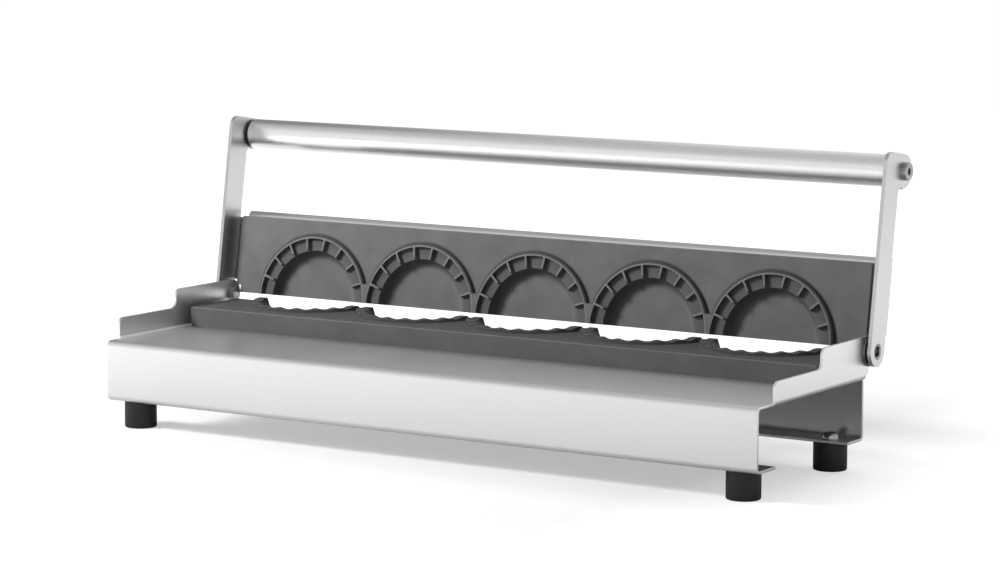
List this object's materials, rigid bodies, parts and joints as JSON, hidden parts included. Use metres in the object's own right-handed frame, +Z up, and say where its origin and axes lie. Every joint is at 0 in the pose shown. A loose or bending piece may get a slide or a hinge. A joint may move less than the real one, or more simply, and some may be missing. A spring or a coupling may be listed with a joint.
{
  "type": "ravioli maker",
  "caption": "Hinged ravioli press: a folded steel tray with a half-moon lower mould, and a swing frame with a tube handle that folds the upper mould down onto it.",
  "frame": {"origin": "on the floor under the middle of the open press's bounding box", "axes": "+X along the press to its right end, +Y from the front wall towards the hinge, +Z up"},
  "size_m": [0.6276, 0.2241, 0.241],
  "materials": {
    "body_steel": "fine brushed stainless sheet",
    "frame_steel": "fine brushed stainless sheet",
    "mould_coating": "dark grey satin non-stick coating on cast aluminium",
    "tube_steel": "satin polished stainless tube",
    "screw_steel": "plain stainless screw heads",
    "washer_steel": "plain stainless washers",
    "foot_rubber": "matte black rubber",
    "plug_plastic": "matte black plastic",
    "insert_brass": "plain brass"
  },
  "bodies": {
    "base": {"base_tray": "body_steel", "lower_mould": "mould_coating", "lower_mould_screws": "screw_steel", "foot_front_left": "foot_rubber", "foot_front_right": "foot_rubber", "foot_rear_left": "foot_rubber", "foot_rear_right": "foot_rubber", "foot_insert_front_left": "insert_brass", "foot_insert_front_right": "insert_brass", "foot_insert_rear_left": "insert_brass", "foot_insert_rear_right": "insert_brass", "foot_screw_front_left": "screw_steel", "foot_screw_front_right": "screw_steel", "foot_screw_rear_left": "screw_steel", "foot_screw_rear_right": "screw_steel", "hinge_pin_left": "screw_steel", "hinge_pin_right": "screw_steel", "hinge_nut_left": "screw_steel", "hinge_nut_right": "screw_steel", "ear_washer_left": "washer_steel", "ear_washer_right": "washer_steel", "arm_washer_left": "washer_steel", "arm_washer_right": "washer_steel"},
    "lid": {"swing_frame": "frame_steel", "upper_mould": "mould_coating", "upper_mould_screws": "screw_steel", "handle_tube": "tube_steel", "handle_plug_left": "plug_plastic", "handle_plug_right": "plug_plastic", "handle_screw_left": "screw_steel", "handle_screw_right": "screw_steel"}
  },
  "joints": [
    {"name": "lid_hinge", "type": "hinge", "parent": "base", "child": "lid", "pos_m": [0, 0.05815, 0.091], "axis": [1, 0, 0], "range_deg": [0, 99]}
  ]
}
